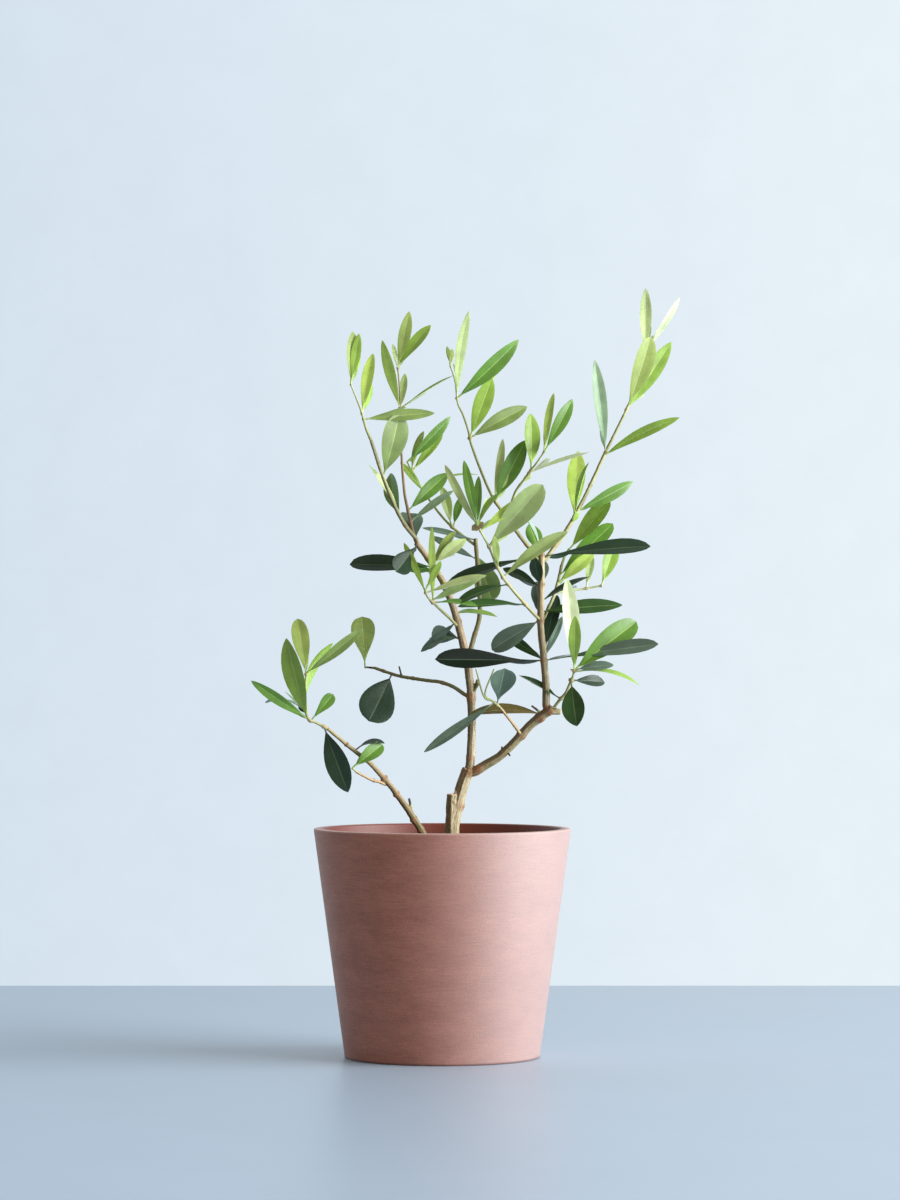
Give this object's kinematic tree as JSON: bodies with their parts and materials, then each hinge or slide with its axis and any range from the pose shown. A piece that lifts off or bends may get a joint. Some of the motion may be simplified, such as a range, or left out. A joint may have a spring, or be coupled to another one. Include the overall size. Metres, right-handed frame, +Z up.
{
  "type": "potted olive tree",
  "caption": "Young olive tree with a forked trunk and loose upright shoots of narrow leaves, standing in a round tapered clay pot.",
  "frame": {"origin": "centre of the pot's flat underside", "axes": "+Z up, +X towards the side that the right bough leans to, where the crown is widest, -Y towards the front"},
  "size_m": [0.3423, 0.1998, 0.5959],
  "materials": {
    "clay": "matte",
    "compost": "matte",
    "bark": "matte",
    "green_bark": "matte",
    "red_bark": "matte",
    "old_leaf": "satin",
    "grey_leaf": "matte",
    "young_leaf": "satin"
  },
  "bodies": {
    "root": {"pot": "clay", "compost": "compost", "trunk": "bark", "left_leader": "bark", "right_bough": "bark", "right_upright": "bark", "right_arm": "bark", "left_arm": "bark", "second_upright": "bark", "outer_shoot": "bark", "inner_shoot": "red_bark", "back_shoot": "green_bark", "centre_shoot": "green_bark", "fan_shoot": "green_bark", "front_shoot": "green_bark", "right_shoot": "bark", "leader_shoot": "green_bark", "side_twig": "bark", "bough_twig": "bark", "elbow_shoot": "green_bark", "low_stem": "bark", "low_twig": "bark", "leaves_top_left": "young_leaf", "leaves_top_left_inner": "young_leaf", "leaves_left_mid": "grey_leaf", "leaves_left_centre": "young_leaf", "leaves_back_foot": "old_leaf", "leaves_top_centre": "young_leaf", "leaves_centre_fan": "old_leaf", "leaves_centre_right": "young_leaf", "leaves_top_right": "young_leaf", "leaves_right_upper": "grey_leaf", "leaves_right_mid": "young_leaf", "leaves_right": "young_leaf", "leaves_right_dark": "old_leaf", "leaves_centre": "young_leaf", "leaves_leader_tuft": "old_leaf", "leaves_left_dark": "old_leaf", "leaves_front_left": "young_leaf", "leaves_left_lower": "grey_leaf", "leaves_middle_dark": "old_leaf", "leaves_middle_upper": "old_leaf", "leaves_right_lower": "grey_leaf", "leaves_right_foot": "old_leaf", "leaves_lower_centre": "grey_leaf", "leaves_far_left": "young_leaf", "leaves_far_left_hanging": "old_leaf", "leaves_low_fan": "old_leaf", "leaves_side_fan": "old_leaf"}
  },
  "joints": []
}
